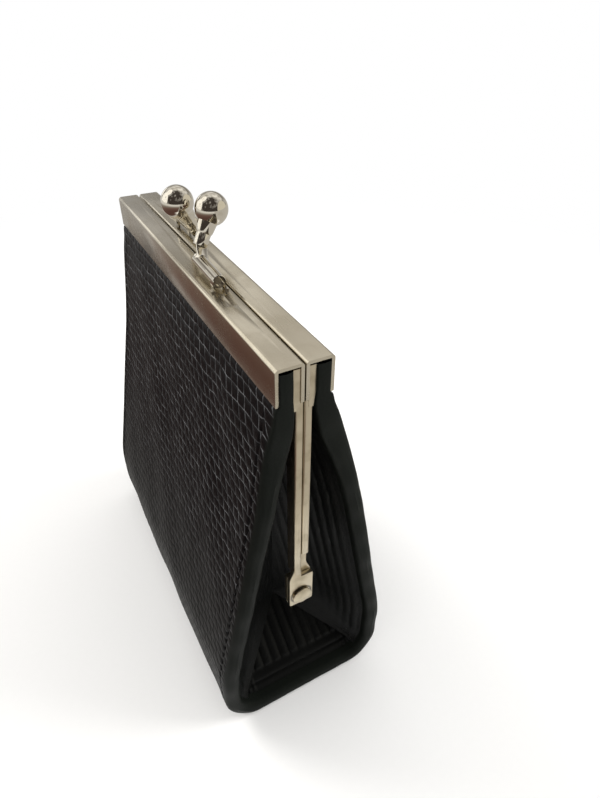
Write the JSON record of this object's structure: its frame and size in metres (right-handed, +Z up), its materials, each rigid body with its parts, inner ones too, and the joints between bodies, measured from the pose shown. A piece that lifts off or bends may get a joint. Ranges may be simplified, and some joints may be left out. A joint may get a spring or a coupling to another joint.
{
  "type": "kiss lock frame purse",
  "caption": "Small upright leather purse on a hinged metal channel frame that snaps shut with two crossed ball posts, with folded gusset ends.",
  "frame": {"origin": "middle of the base, on the surface that the purse stands on", "axes": "+Z up, +X along the rails, front panel towards -Y"},
  "size_m": [0.0764, 0.0348, 0.0946],
  "materials": {
    "nickel_sheet": "polished nickel plate, lightly handled",
    "nickel_arm": "satin nickel plate",
    "polished_nickel": "mirror polished nickel plate",
    "embossed_leather": "black leather embossed with a fine lizard grain",
    "gusset_leather": "black leather embossed with broad lizard ribs",
    "lining_cloth": "plain black lining",
    "fibre_board": "pressed fibre board, hidden"
  },
  "bodies": {
    "pouch": {"base_wrap": "embossed_leather", "base_board": "fibre_board", "base_lining": "lining_cloth", "right_gusset": "gusset_leather", "left_gusset": "gusset_leather", "right_rivet": "nickel_arm", "left_rivet": "nickel_arm"},
    "front_half": {"front_rail": "nickel_sheet", "front_hinge_frame": "nickel_arm", "front_lock_post": "nickel_sheet", "front_lock_ball": "polished_nickel", "front_panel": "embossed_leather", "front_board": "fibre_board", "front_lining": "lining_cloth", "front_right_gusset_wing": "gusset_leather", "front_left_gusset_wing": "gusset_leather"},
    "back_half": {"back_rail": "nickel_sheet", "back_hinge_frame": "nickel_arm", "back_lock_post": "nickel_sheet", "back_lock_ball": "polished_nickel", "back_panel": "embossed_leather", "back_board": "fibre_board", "back_lining": "lining_cloth", "back_right_gusset_wing": "gusset_leather", "back_left_gusset_wing": "gusset_leather"}
  },
  "joints": [
    {"name": "front_hinge", "type": "hinge", "parent": "pouch", "child": "front_half", "pos_m": [0, -0.00145, 0.0342], "axis": [1, 0, 0], "range_deg": [0, 38], "deforming": ["front_right_gusset_wing", "front_left_gusset_wing", "base_wrap"]},
    {"name": "back_hinge", "type": "hinge", "parent": "pouch", "child": "back_half", "pos_m": [0, -0.00145, 0.0342], "axis": [-1, 0, 0], "range_deg": [0, 38], "deforming": ["back_right_gusset_wing", "back_left_gusset_wing", "base_wrap"]}
  ]
}
